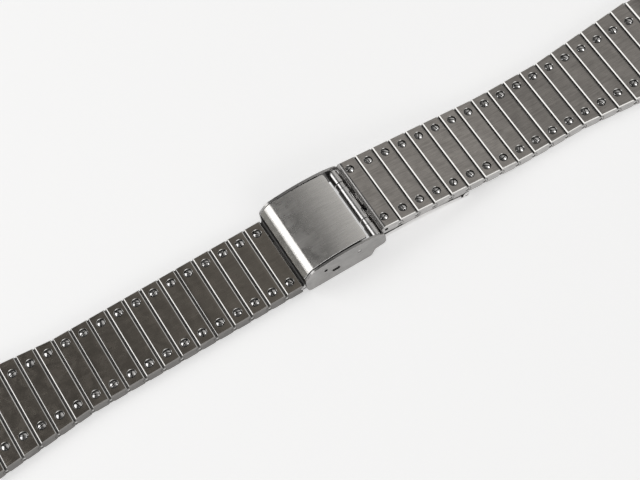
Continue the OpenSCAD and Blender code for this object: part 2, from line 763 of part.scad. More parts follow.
module tongue() {
    c = [adjust_x, adjust_z];
    pin = [-tongue_pin_x, pin_z];
    color(steel) translate([-x_mid, 0, 0]) difference() {
        union() {
            slab(-eye_half, eye_half) tongue_outline();
            bar(c, eye_r, -eye_half + tongue_notch, eye_half - tongue_notch);
            both_sides() bar(pin, knuckle_r, knuckle_half + knuckle_gap, eye_half);
        }
        bar(c, adjust_barrel_r + run_gap, -20, 20);
        both_sides() translate([adjust_x - tongue_notch, eye_half - tongue_notch, 0]) cube([5, 5, 5]);
        bar(pin, pocket_r, -knuckle_half - knuckle_gap / 2, knuckle_half + knuckle_gap / 2);
        bar(pin, pin_r + seat_gap, -20, 20);
    }
    color(polished) translate([-x_mid, 0, 0]) bar(pin, pin_r, -eye_half + 0.05, eye_half - 0.05);
}

clasp_channel();
clasp_cover();
clasp_hinge_pin();
outer_leaf();
leaf_hinge_pin();
inner_leaf();
strap_hinge_pin();
tongue();
for (piece = ["barrel", "spring", "front_tip", "rear_tip"]) {
    adjuster_bar(piece);
    left_end_frame() lug_bar(piece);
    right_end_frame() lug_bar(piece);
}
for (k = [1:links_per_side]) {
    left_link(k);
    right_link(k);
}
left_end_frame() end_piece();  // left_end_piece
right_end_frame() end_piece();  // right_end_piece
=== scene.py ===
"""A steel watch bracelet, closed, lying on a pale table and seen as in the photograph."""

import json
import logging
import math
from dataclasses import dataclass, field
from enum import Enum
from typing import Any, Callable

import bmesh
import bpy
from mathutils import Matrix, Vector


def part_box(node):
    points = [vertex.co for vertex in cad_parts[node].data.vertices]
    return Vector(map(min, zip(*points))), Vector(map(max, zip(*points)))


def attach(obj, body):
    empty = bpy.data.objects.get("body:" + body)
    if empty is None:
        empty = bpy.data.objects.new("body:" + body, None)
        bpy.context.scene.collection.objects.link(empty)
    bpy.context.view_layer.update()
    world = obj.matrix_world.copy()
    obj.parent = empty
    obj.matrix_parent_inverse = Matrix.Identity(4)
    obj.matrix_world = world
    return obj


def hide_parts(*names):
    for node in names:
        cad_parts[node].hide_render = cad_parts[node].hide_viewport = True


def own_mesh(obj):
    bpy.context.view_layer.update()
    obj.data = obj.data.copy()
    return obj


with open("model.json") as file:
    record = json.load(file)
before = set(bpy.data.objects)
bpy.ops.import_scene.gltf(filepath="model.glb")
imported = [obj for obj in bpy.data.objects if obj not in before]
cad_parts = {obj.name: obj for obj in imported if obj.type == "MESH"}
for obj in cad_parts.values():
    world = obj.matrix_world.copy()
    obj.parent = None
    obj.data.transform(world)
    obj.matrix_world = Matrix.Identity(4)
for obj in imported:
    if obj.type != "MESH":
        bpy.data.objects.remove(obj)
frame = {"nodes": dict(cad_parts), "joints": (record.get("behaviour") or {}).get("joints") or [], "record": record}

log = logging.getLogger("bracelet")

MM = 0.001
Colour = tuple[float, float, float]


class Half(Enum):
    """The two halves of the strap."""

    LEFT = "left"
    RIGHT = "right"


class Across(Enum):
    """The direction across which brushed lines follow each other."""

    STRAP = (0.0, 1.0, 0.0)
    HEIGHT = (0.0, 0.0, 1.0)


class Part(Enum):
    """The loose parts of a link."""

    BODY = "body"
    PIN = "pin"
    FRONT_SCREW = "front_screw"
    REAR_SCREW = "rear_screw"


# Effects that several finishes share


def add_node(
    tree: bpy.types.NodeTree, kind: str, inputs: dict[str | int, Any] | None = None, **settings: Any
) -> bpy.types.Node:
    """Add a shader node.

    Args:
        tree: The tree that it goes into.
        kind: The kind of node.
        inputs: Values of its inputs, by the inputs' names or numbers.
        **settings: Its own settings, made before its inputs are set.

    Returns:
        The node.
    """
    node = tree.nodes.new(kind)
    for name, value in settings.items():
        setattr(node, name, value)
    for socket, value in (inputs or {}).items():
        node.inputs[socket].default_value = value
    return node


class Effects:
    """Shader node groups, each built once and placed in the finishes with its own values."""

    def __init__(self) -> None:
        """Start with no group built."""
        self._groups: dict[str, bpy.types.NodeTree] = {}

    def _new(self, name: str, inputs: list[str], outputs: list[str]) -> bpy.types.NodeTree:
        """Make an empty group with its sockets.

        Args:
            name: The group's name.
            inputs: Names of the inputs, all of them vectors.
            outputs: Names of the outputs, all of them plain values.

        Returns:
            The group's node tree.
        """
        tree = bpy.data.node_groups.new(name, "ShaderNodeTree")
        for label in inputs:
            tree.interface.new_socket(label, in_out="INPUT", socket_type="NodeSocketVector")
        for label in outputs:
            tree.interface.new_socket(label, in_out="OUTPUT", socket_type="NodeSocketFloat")
        self._groups[name] = tree
        return tree

    def brushing(self) -> bpy.types.NodeTree:
        """The lines that a brushing belt leaves.

        Returns:
            A group that turns a place into the lines' height and their light and dark tone.
        """
        if "brushing" in self._groups:
            return self._groups["brushing"]
        tree = self._new("brushing", ["Place", "Density"], ["Height", "Tone"])
        link = tree.links.new
        start = add_node(tree, "NodeGroupInput")
        end = add_node(tree, "NodeGroupOutput")
        stretch = add_node(tree, "ShaderNodeVectorMath", operation="MULTIPLY")
        link(start.outputs["Place"], stretch.inputs[0])
        link(start.outputs["Density"], stretch.inputs[1])
        fine = add_node(tree, "ShaderNodeTexNoise", {"Scale": 1.0, "Detail": 3.0, "Roughness": 0.65})
        link(stretch.outputs[0], fine.inputs["Vector"])
        link(fine.outputs["Fac"], end.inputs["Height"])
        broad = add_node(tree, "ShaderNodeTexNoise", {"Scale": 0.7, "Detail": 4.0, "Roughness": 0.7})
        link(stretch.outputs[0], broad.inputs["Vector"])
        tone = add_node(tree, "ShaderNodeMapRange", {"From Min": 0.32, "From Max": 0.68})
        link(broad.outputs["Fac"], tone.inputs["Value"])
        link(tone.outputs["Result"], end.inputs["Tone"])
        return tree

    def handling(self) -> bpy.types.NodeTree:
        """Faint smears and hairline scratches of a worn surface.

        Returns:
            A group that turns a place into masks of the smears and of the scratches.
        """
        if "handling" in self._groups:
            return self._groups["handling"]
        tree = self._new("handling", ["Place"], ["Smear", "Scratch"])
        link = tree.links.new
        start = add_node(tree, "NodeGroupInput")
        end = add_node(tree, "NodeGroupOutput")
        smear = add_node(tree, "ShaderNodeTexNoise", {"Scale": 420.0, "Detail": 5.0, "Distortion": 0.8})
        link(start.outputs["Place"], smear.inputs["Vector"])
        spread = add_node(tree, "ShaderNodeMapRange", {"From Min": 0.35, "From Max": 0.7})
        link(smear.outputs["Fac"], spread.inputs["Value"])
        link(spread.outputs["Result"], end.inputs["Smear"])
        askew = {"Rotation": (0.4, 0.2, 0.9), "Scale": (90.0, 700.0, 400.0)}
        turn = add_node(tree, "ShaderNodeMapping", askew)
        link(start.outputs["Place"], turn.inputs["Vector"])
        hair = add_node(tree, "ShaderNodeTexNoise", {"Scale": 1.0, "Detail": 2.0, "Distortion": 1.4})
        link(turn.outputs["Vector"], hair.inputs["Vector"])
        middle = add_node(tree, "ShaderNodeMath", {1: 0.5}, operation="SUBTRACT")
        link(hair.outputs["Fac"], middle.inputs[0])
        size = add_node(tree, "ShaderNodeMath", operation="ABSOLUTE")
        link(middle.outputs[0], size.inputs[0])
        thin = add_node(
            tree, "ShaderNodeMapRange", {"From Min": 0.0, "From Max": 0.012, "To Min": 1.0, "To Max": 0.0}
        )
        link(size.outputs[0], thin.inputs["Value"])
        link(thin.outputs["Result"], end.inputs["Scratch"])
        return tree


# Finishes


@dataclass(frozen=True)
class Steel:
    """A finish of bare steel, from coarse brushing to a polish.

    Attributes:
        name: The material's name.
        colour: Colour of the steel.
        roughness: Roughness between the smears.
        across: Direction across the brushed lines, or None for a polish.
        lines: Brushed lines to the metre.
        stretch: How many times longer than wide the lines are.
        depth: Height of the lines in metres.
        contrast: How much lighter and darker the lines are.
        smear: How much the smears change the roughness.
        mottle: Share of the smears in the tone of the lines.
        scratch: Height of the scratches in metres.
        scratch_strength: How strongly the scratches are seen.
        tilt: Slope of the piece along the strap, in degrees.
        slot: The record's material slot, which is not used.
    """

    name: str
    colour: Colour
    roughness: float
    across: Across | None = None
    lines: float = 9000.0
    stretch: float = 14.0
    depth: float = 0.000004
    contrast: float = 0.25
    smear: float = 0.08
    mottle: float = 0.4
    scratch: float = 0.0000015
    scratch_strength: float = 0.5
    tilt: float = 0.0
    slot: str = "brushed_link"

    def _density(self) -> Vector:
        """Lines to the metre along each axis, few of them along the brushing."""
        along = self.lines / self.stretch
        return Vector([along + (self.lines - along) * share for share in self.across.value])

    def _shade(self, change: float) -> tuple[float, float, float, float]:
        """The steel's colour, lighter or darker by a share."""
        return (*[min(1.0, c * (1.0 + change)) for c in self.colour], 1.0)

    def build(self, effects: Effects) -> bpy.types.Material:
        """Make the material.

        Args:
            effects: The shared node groups.

        Returns:
            The finished material.
        """
        material = bpy.data.materials.new(self.name)
        material.use_nodes = True
        tree = material.node_tree
        link = tree.links.new
        shader = tree.nodes["Principled BSDF"]
        shader.inputs["Metallic"].default_value = 1.0
        place = add_node(tree, "ShaderNodeTexCoord")
        turn = add_node(tree, "ShaderNodeMapping", {"Rotation": (0.0, math.radians(-self.tilt), 0.0)})
        link(place.outputs["Object"], turn.inputs["Vector"])
        worn = add_node(tree, "ShaderNodeGroup", node_tree=effects.handling())
        link(turn.outputs["Vector"], worn.inputs["Place"])
        levels = {"To Min": self.roughness, "To Max": self.roughness + self.smear}
        rough = add_node(tree, "ShaderNodeMapRange", levels)
        link(worn.outputs["Smear"], rough.inputs["Value"])
        link(rough.outputs["Result"], shader.inputs["Roughness"])
        relief = {"Strength": self.scratch_strength, "Distance": self.scratch}
        scratched = add_node(tree, "ShaderNodeBump", relief, invert=True)
        link(worn.outputs["Scratch"], scratched.inputs["Height"])
        link(scratched.outputs["Normal"], shader.inputs["Normal"])
        shades = {"A": self._shade(-self.contrast), "B": self._shade(self.contrast)}
        tint = add_node(tree, "ShaderNodeMix", shades, data_type="RGBA")
        link(tint.outputs["Result"], shader.inputs["Base Color"])
        if self.across is None:
            link(worn.outputs["Smear"], tint.inputs["Factor"])
            return material
        lines = add_node(tree, "ShaderNodeGroup", {"Density": self._density()}, node_tree=effects.brushing())
        link(turn.outputs["Vector"], lines.inputs["Place"])
        blend = add_node(tree, "ShaderNodeMix", {"Factor": self.mottle})
        link(lines.outputs["Tone"], blend.inputs["A"])
        link(worn.outputs["Smear"], blend.inputs["B"])
        link(blend.outputs["Result"], tint.inputs["Factor"])
        brushed = add_node(tree, "ShaderNodeBump", {"Strength": 1.0, "Distance": self.depth})
        link(lines.outputs["Height"], brushed.inputs["Height"])
        link(brushed.outputs["Normal"], scratched.inputs["Normal"])
        return material


@dataclass
class Finishes:
    """The finishes of the bracelet, each built when it is first asked for."""

    effects: Effects = field(default_factory=Effects)
    built: dict[str, bpy.types.Material] = field(default_factory=dict)

    def get(self, steel: Steel) -> bpy.types.Material:
        """Give the material of a finish.

        Args:
            steel: The finish.

        Returns:
            Its material.
        """
        if steel.name not in self.built:
            self.built[steel.name] = steel.build(self.effects)
        return self.built[steel.name]


# Link tops painted darker than the cover's steel as shade, the left half darker than the right: painted shade.
SHADED_TOP_LEFT = (0.36, 0.324, 0.28)
SHADED_TOP_RIGHT = (0.41, 0.385, 0.36)
# Sides of the links: painted shade makes those of the left half darker than those of the right.
PALE = (0.5, 0.49, 0.48)
SHADED_SIDE = (0.22, 0.212, 0.204)
# Height in metres of the scratches on broad brushed faces, and of the lines on satin ones
FAINT = 0.0000004
SATIN = 0.000002


def sloped_name(part: str, tilt: float, half: Half) -> str:
    """Name of a finish for the links of one slope."""
    return f"{part}_{half.value}_{abs(tilt):.1f}".replace(".", "_")


def link_top(tilt: float, half: Half) -> Steel:
    """Brushed top of the links of one slope, more even on the left half, its colour darkened by painted shade,
    most on the left half.

    Args:
        tilt: Slope of the links in degrees.
        half: The half of the strap.

    Returns:
        The finish.
    """
    colour, contrast = (SHADED_TOP_LEFT, 0.14) if half is Half.LEFT else (SHADED_TOP_RIGHT, 0.28)
    return Steel(
        sloped_name("link_top", tilt, half), colour, 0.22, Across.STRAP, lines=5200.0, depth=0.000008,
        contrast=contrast, scratch=FAINT, tilt=tilt,
    )


def link_side(tilt: float, half: Half) -> Steel:
    """Satin side of the links of one slope, painted darker as shade on the left half.

    Args:
        tilt: Slope of the links in degrees.
        half: The half of the strap.

    Returns:
        The finish.
    """
    colour = SHADED_SIDE if half is Half.LEFT else PALE
    name = sloped_name("link_side", tilt, half)
    return Steel(name, colour, 0.28, Across.HEIGHT, lines=7000.0, depth=SATIN, tilt=tilt)


LINK_EDGE = Steel("link_edge", (0.6, 0.59, 0.57), 0.13, contrast=0.04)
# The bevels facing +X are one steel in two tones: a painted highlight on the left half and painted shade on the
# right half.
LIT_LIP_LEFT = Steel("link_lip_left_lit", (0.86, 0.85, 0.83), 0.14, contrast=0.06)
SHADED_LIP_RIGHT = Steel("link_lip_right_shaded", (0.4, 0.39, 0.38), 0.2, contrast=0.06)
LINK_BODY = Steel("link_body", (0.3, 0.29, 0.28), 0.35, Across.STRAP, contrast=0.12)
ROUND_END = Steel("round_end", (0.46, 0.45, 0.44), 0.2, contrast=0.1)
# The sunk rings round the screws painted near black: painted shade in the recess.
SHADED_WELL = Steel("screw_well_shade", (0.07, 0.068, 0.065), 0.5, contrast=0.2)
SCREW_HEAD = Steel("screw_head", (0.72, 0.71, 0.7), 0.1, contrast=0.06)
# The screws' slots and shanks painted near black: painted shade.
SHADED_SLOT = Steel("screw_slot_shade", (0.04, 0.038, 0.036), 0.6, contrast=0.2)
PIN_END = Steel("pin_end", (0.7, 0.69, 0.68), 0.2, contrast=0.08)
# The cover is one brushed steel in two tones: its top painted lighter than the link tops as light, its nose
# painted darker as shade.
LIT_COVER_TOP = Steel(
    "cover_top", (0.85, 0.83, 0.8), 0.24, Across.STRAP, lines=6000.0, depth=0.000006, contrast=0.12,
    mottle=0.2, scratch=FAINT, slot="brushed_cover",
)
SHADED_COVER_NOSE = Steel(
    "cover_nose_shaded", (0.34, 0.33, 0.305), 0.24, Across.STRAP, lines=6000.0, depth=0.000006, contrast=0.1,
    scratch=FAINT, slot="brushed_cover",
)
CLASP_WALL = Steel(
    "clasp_wall", (0.37, 0.362, 0.353), 0.3, Across.HEIGHT, lines=7000.0, depth=SATIN, slot="brushed_clasp"
)
CLASP_RIM = Steel("clasp_rim", (0.5, 0.49, 0.48), 0.25, Across.STRAP, contrast=0.1, slot="brushed_clasp")
# The inside of the clasp and the fronts of the knuckles painted dark: painted shade.
SHADED_INSIDE = Steel("clasp_inside_shade", (0.2, 0.195, 0.19), 0.4, Across.STRAP, slot="brushed_clasp")
# The tongue inside the closed clasp painted near black: painted shade.
SHADED_TONGUE = Steel("tongue_shade", (0.12, 0.117, 0.114), 0.45, Across.STRAP, slot="brushed_clasp")
LEAF_FACE = Steel("leaf_face", (0.66, 0.65, 0.64), 0.26, Across.STRAP, lines=7000.0, slot="brushed_leaf")
LEAF_EDGE = Steel("leaf_edge", (0.8, 0.79, 0.78), 0.16, contrast=0.05, slot="brushed_leaf")
KNUCKLE = Steel("knuckle", (0.78, 0.77, 0.76), 0.2, contrast=0.06, slot="brushed_leaf")
POLISHED = Steel("polished", (0.82, 0.81, 0.8), 0.13, contrast=0.05, slot="polished_steel")
SPRING = Steel("spring_wire", (0.42, 0.41, 0.4), 0.3, contrast=0.15, slot="spring_steel")


# Shapes taken from the solids

# Distance in millimetres within which two heights or places are the same
NEAR = 0.02
# How much of a face's direction lies along an axis: wholly, squarely, partly or a little
LEVEL = 0.999
SQUARE = 0.9
SLANTED = 0.3
LEANING = 0.2


@dataclass(frozen=True)
class Local:
    """A frame in which a piece lies level, used to tell its faces apart.

    Attributes:
        origin: The frame's origin, in metres.
        slope: Slope of the piece in degrees, falling towards +X.
    """

    origin: Vector
    slope: float = 0.0

    def place(self, point: Vector) -> Vector:
        """A point in the frame, in millimetres."""
        return self.direction(point - self.origin) / MM

    def direction(self, vector: Vector) -> Vector:
        """A direction of the world, in the frame."""
        return Matrix.Rotation(math.radians(-self.slope), 3, "Y") @ vector

    def outward(self, vector: Vector) -> Vector:
        """A direction of the frame, in the world."""
        return Matrix.Rotation(math.radians(self.slope), 3, "Y") @ vector


WORLD = Local(Vector((0.0, 0.0, 0.0)))
Chooser = Callable[[Vector, Vector], Steel]


def mesh_box(mesh: bmesh.types.BMesh) -> tuple[Vector, Vector]:
    """Lowest and highest corner of a mesh, in metres."""
    low, high = ([pick(v.co[i] for v in mesh.verts) for i in range(3)] for pick in (min, max))
    return Vector(low), Vector(high)


def mesh_length(mesh: bmesh.types.BMesh) -> float:
    """Size of a mesh's box in metres, corner to corner."""
    low, high = mesh_box(mesh)
    return (high - low).length


def mesh_middle(mesh: bmesh.types.BMesh) -> Vector:
    """Middle of a mesh's box, in metres."""
    low, high = mesh_box(mesh)
    return (low + high) / 2


@dataclass
class Workshop:
    """Makes pieces out of copies of the solids and gives them their finishes.

    Attributes:
        finishes: The finishes of the bracelet.
        merge: Distance in metres within which corners of a solid are merged.
        level: Angle in degrees below which two faces of a solid are one.
        made: How many pieces there are.
    """

    finishes: Finishes
    merge: float = 2e-7
    level: float = 0.25
    made: int = 0

    def copy(self, node: str) -> list[bmesh.types.BMesh]:
        """Copy a solid node as loose, merged shells.

        Args:
            node: Name of the node.

        Returns:
            One mesh for each loose shell, the largest first.
        """
        whole = bmesh.new()
        whole.from_mesh(frame["nodes"][node].data)
        bmesh.ops.remove_doubles(whole, verts=whole.verts, dist=self.merge)
        bmesh.ops.dissolve_limit(
            whole, angle_limit=math.radians(self.level), verts=whole.verts, edges=whole.edges, delimit=set()
        )
        shells: list[bmesh.types.BMesh] = []
        for keep in self._islands(whole):
            shell = whole.copy()
            shell.verts.ensure_lookup_table()
            bmesh.ops.delete(shell, geom=[v for v in shell.verts if v.index not in keep], context="VERTS")
            shells.append(shell)
        whole.free()
        shells.sort(key=lambda m: -mesh_length(m))
        return shells

    @staticmethod
    def _islands(mesh: bmesh.types.BMesh) -> list[set[int]]:
        """Find the connected shells of a mesh.

        Args:
            mesh: The mesh.

        Returns:
            Indices of the vertices of each shell.
        """
        mesh.verts.index_update()
        mesh.verts.ensure_lookup_table()
        seen: set[int] = set()
        groups: list[set[int]] = []
        for first in mesh.verts:
            if first.index in seen:
                continue
            group, front = {first.index}, [first]
            while front:
                vertex = front.pop()
                for edge in vertex.link_edges:
                    other = edge.other_vert(vertex)
                    if other.index not in group:
                        group.add(other.index)
                        front.append(other)
            seen |= group
            groups.append(group)
        return groups

    def finish(
        self,
        mesh: bmesh.types.BMesh,
        name: str,
        node: str,
        steels: list[Steel],
        choose: Chooser | None = None,
        local: Local = WORLD,
        bevel: float = 0.03,
        edge: Steel | None = None,
        angle: float = 33.0,
        flat: Steel | None = None,
    ) -> bpy.types.Object:
        """Turn a mesh into a finished piece that stands for a solid node.

        Args:
            mesh: The shape, which is freed.
            name: Name of the piece.
            node: The node it stands for, whose body it rides on.
            steels: Its finishes.
            choose: Gives a face's finish from its middle and its direction, in the local frame. Without it
                every face has the first finish.
            local: The frame in which the piece lies level.
            bevel: Width of the softened edges, in millimetres.
            edge: The finish of the softened edges, or None for that of the faces beside them.
            angle: Edges sharper than this many degrees are softened.
            flat: The finish whose faces are shaded flat, or None.

        Returns:
            The piece.
        """
        for face in mesh.faces:
            steel = steels[0]
            if choose:
                steel = choose(local.place(face.calc_center_median()), local.direction(face.normal))
            face.material_index = steels.index(steel)
            face.smooth = steel != flat
        data = bpy.data.meshes.new(name)
        mesh.to_mesh(data)
        mesh.free()
        data.set_sharp_from_angle(angle=math.radians(angle))
        piece = bpy.data.objects.new(name, data)
        bpy.context.scene.collection.objects.link(piece)
        for steel in steels:
            data.materials.append(self.finishes.get(steel))
        if bevel > 0.0:
            soft = piece.modifiers.new("softened_edges", "BEVEL")
            soft.width = bevel * MM
            soft.segments = 2
            soft.limit_method = "ANGLE"
            soft.angle_limit = math.radians(angle)
            soft.material = steels.index(edge) if edge else -1
        even = piece.modifiers.new("even_light", "WEIGHTED_NORMAL")
        even.weight = 90
        even.keep_sharp = True
        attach(piece, frame_body(node))
        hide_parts(node)
        self.made += 1
        return piece


def frame_body(node: str) -> str:
    """Name of the body that a node belongs to."""
    bodies = frame["record"]["behaviour"]["bodies"]
    return next(body for body, members in bodies.items() if node in members)


def frame_joint(name: str) -> dict[str, Any]:
    """What the frame says of a joint."""
    return next(joint for joint in frame["joints"] if joint["name"] == name)


def hinge_place(name: str) -> Vector:
    """Where a joint is, in metres."""
    return Vector(frame_joint(name)["pos_m"])


# The strap


@dataclass
class Link:
    """A link of the strap with its hinge pin and its two slotted screws. Sizes are in millimetres.

    Attributes:
        half: The half of the strap that it is in.
        number: Its number, counted from the clasp.
        slope: Its slope in degrees, falling towards +X.
        top: Height of its top above its hinge pin.
        bevel: Height of the bevelled edges.
        drawn: How far the lower edge of the cross bevels is drawn back from the gap.
        widened: How far their upper edge is moved away from the gap.
        rim: Width of the bevel round a screw's well.
        rim_near: Distance from the well's radius within which a corner is on its rim.
        rim_angle: Angle in degrees above which an edge round a well is a rim.
        pitch: Distance between two neighbouring pins.
        gap: Gap between two neighbouring links.
        hole_z: Height above the hinge pin down to which a screw's hole is painted dark as shade.
        screw_x: Distance of the screws from the hinge pin.
        screw_y: Distance of a screw from the middle of the strap.
        well_r: Radius of the sunk ring round a screw.
        head_r: Radius outside which a screw's head has no slot.
        head_h: Depth below the top down to which a screw's head is polished.
        slot_h: Depth below the top from which a level face is the floor of a slot.
        round_x: Distance from the hinge pin within which a round end is polished.
        upward: How much of a face's direction points up where it belongs to the top.
        local: The frame in which the link lies level.
    """

    half: Half
    number: int
    slope: float
    top: float
    bevel: float = 0.25
    drawn: float = 0.1
    widened: float = 0.04
    rim: float = 0.09
    rim_near: float = 0.05
    rim_angle: float = 60.0
    pitch: float = 3.6
    gap: float = 0.2
    hole_z: float = -0.6
    screw_x: float = 0.0
    screw_y: float = 5.95
    well_r: float = 0.82
    head_r: float = 0.63
    head_h: float = 0.3
    slot_h: float = 0.1
    round_x: float = 0.1
    upward: float = 0.95
    local: Local = WORLD

    def __post_init__(self) -> None:
        """Place the link at its hinge and choose its finishes."""
        self.local = Local(hinge_place(f"{self.half.value}_hinge_{self.number:02d}"), self.slope)
        self._top_steel = link_top(self.slope, self.half)
        self._side_steel = link_side(self.slope, self.half)
        self._lip_steel = LIT_LIP_LEFT if self.half is Half.LEFT else SHADED_LIP_RIGHT

    @property
    def eased(self) -> float:
        """How far the lower edge of the cross bevels is raised."""
        return 0.165 if self.half is Half.LEFT else 0.1

    @property
    def round_end(self) -> bool:
        """Whether the link has the round end that turns on the inner leaf."""
        return self.half is Half.RIGHT and self.number == 1

    def build(self, shop: Workshop) -> None:
        """Make the link's body, its pin and its screws.

        Args:
            shop: Where the pieces are made.
        """
        node = f"{self.half.value}_link_{self.number:02d}"
        body, pin, *screws = shop.copy(node)
        screws.sort(key=lambda m: -len(m.faces))
        self.screw_x = sum(self.local.place(mesh_middle(m)).x for m in screws) / len(screws)
        self._ease_bevels(body)
        self._bevel_wells(body)
        steels = [
            self._top_steel, LINK_EDGE, self._side_steel, SHADED_WELL, LINK_BODY, ROUND_END, self._lip_steel
        ]
        shop.finish(
            body, f"{node}_{Part.BODY.value}", node, steels, self._body_face, self.local, 0.04, LINK_EDGE,
            flat=self._top_steel,
        )
        shop.finish(pin, f"{node}_{Part.PIN.value}", node, [PIN_END], local=self.local, bevel=0.04)
        for screw in screws:
            part = Part.FRONT_SCREW if self.local.place(mesh_middle(screw)).y < 0 else Part.REAR_SCREW
            shop.finish(
                screw, f"{node}_{part.value}", node, [SCREW_HEAD, SHADED_SLOT], self._screw_face, self.local,
                0.02, SCREW_HEAD,
            )

    def _reach(self, place: Vector) -> float:
        """Distance of a place from the axis of the nearer screw."""
        return math.hypot(place.x - self.screw_x, abs(place.y) - self.screw_y)

    def _body_face(self, centre: Vector, normal: Vector) -> Steel:
        """Tell the faces of the link's body apart.

        Args:
            centre: Middle of a face, in the local frame.
            normal: Direction of the face, in the local frame.

        Returns:
            The face's finish.
        """
        if centre.z > self.top - NEAR and normal.z > self.upward:
            return self._top_steel
        # Inside a well: painted shade, except the polished rim.
        if self._reach(centre) < self.well_r + self.rim and self.hole_z < centre.z < self.top - NEAR:
            on_rim = SLANTED < normal.z < SQUARE and centre.z > self.top - self.rim
            return LINK_EDGE if on_rim else SHADED_WELL
        if self.round_end and centre.x < self.round_x:
            return ROUND_END
        if centre.z > self.top - self.bevel - NEAR and normal.z > SLANTED:
            # Bevels facing +X take the lip's painted highlight or painted shade.
            if normal.x > LEANING:
                return self._lip_steel
            # On the left half the bevels along the long sides take the side's painted shade.
            return self._side_steel if self.half is Half.LEFT and abs(normal.y) > SLANTED else LINK_EDGE
        return self._side_steel if abs(normal.y) > SQUARE else LINK_BODY

    def _screw_face(self, centre: Vector, normal: Vector) -> Steel:
        """Tell a screw's polished head from its slot and its shank, which carry painted shade.

        Args:
            centre: Middle of a face, in the local frame.
            normal: Direction of the face, in the local frame.

        Returns:
            The face's finish.
        """
        slot_floor = normal.z > LEVEL and centre.z < self.top - self.slot_h
        dome = normal.z > LEANING and not slot_floor
        in_head = centre.z > self.top - self.head_h
        return SCREW_HEAD if in_head and (dome or self._reach(centre) > self.head_r) else SHADED_SLOT

    def _ease_bevels(self, body: bmesh.types.BMesh) -> None:
        """Make the bevels along the cross edges wider and less steep, and the gap between links clearer.

        Args:
            body: The link's body.
        """
        places = [(v, self.local.place(v.co)) for v in body.verts]
        low = [v for v, p in places if abs(p.z - (self.top - self.bevel)) < NEAR]
        high = [v for v, p in places if abs(p.z - self.top) < NEAR]
        bmesh.ops.translate(body, verts=low, vec=self.local.outward(Vector((0.0, 0.0, self.eased * MM))))
        for way, foot in ((1.0, self.gap / 2), (-1.0, self.pitch - self.gap / 2)):
            for ring, at, step in ((low, foot, self.drawn), (high, foot + way * self.bevel, self.widened)):
                moved = [v for v in ring if abs(abs(self.local.place(v.co).x) - at) < NEAR]
                if moved:
                    inward = math.copysign(step * MM, self.local.place(moved[0].co).x) * way
                    bmesh.ops.translate(body, verts=moved, vec=self.local.outward(Vector((inward, 0.0, 0.0))))

    def _bevel_wells(self, body: bmesh.types.BMesh) -> None:
        """Bevel the rims of the sunk rings round the screws.

        Args:
            body: The link's body.
        """
        places = {v: self.local.place(v.co) for v in body.verts}
        on_rim = {
            v for v, p in places.items()
            if abs(p.z - self.top) < NEAR and abs(self._reach(p) - self.well_r) < self.rim_near
        }
        rims = [
            e for e in body.edges
            if on_rim.issuperset(e.verts) and e.calc_length() < self.well_r * MM
            and e.calc_face_angle(0.0) > math.radians(self.rim_angle)
        ]
        bmesh.ops.bevel(
            body, geom=rims, offset=self.rim * MM, offset_type="OFFSET", segments=1, profile=0.5,
            affect="EDGES", clamp_overlap=False, material=-1,
        )


@dataclass
class StrapHalf:
    """One half of the strap.

    Attributes:
        half: Which half it is.
        count: How many links it has.
        thickness: Height of a link, in millimetres.
        pin_z: Height of a link's pins above its underside, in millimetres.
        round_pin_z: The same for the pin in the round end of the first right link.
        round_pitch: Distance between that pin and the next, in millimetres.
        level: Slope in degrees below which a link counts as level.
    """

    half: Half
    count: int = 18
    thickness: float = 2.0
    pin_z: float = 0.85
    round_pin_z: float = 1.0
    round_pitch: float = 2.8
    level: float = 0.05

    def _slope(self, number: int) -> float:
        """Slope of a link.

        Args:
            number: The link's number, counted from the clasp.

        Returns:
            The slope in degrees, falling towards +X.
        """
        if self.half is Half.LEFT:
            return 0.0
        here = hinge_place(f"right_hinge_{number:02d}")
        there = hinge_place(f"right_hinge_{number + 1:02d}")
        slope = math.degrees(math.atan2(here.z - there.z, there.x - here.x))
        if number == 1:
            slope += math.degrees(math.atan2(self.pin_z - self.round_pin_z, self.round_pitch))
        return round(slope, 2) if abs(slope) > self.level else 0.0

    def build(self, shop: Workshop) -> None:
        """Make every link of this half.

        Args:
            shop: Where the pieces are made.
        """
        for number in range(1, self.count + 1):
            round_end = self.half is Half.RIGHT and number == 1
            pin_z = self.round_pin_z if round_end else self.pin_z
            Link(self.half, number, self._slope(number), self.thickness - pin_z).build(shop)
        log.info("%s half of the strap: %d links", self.half.value, self.count)


# The clasp


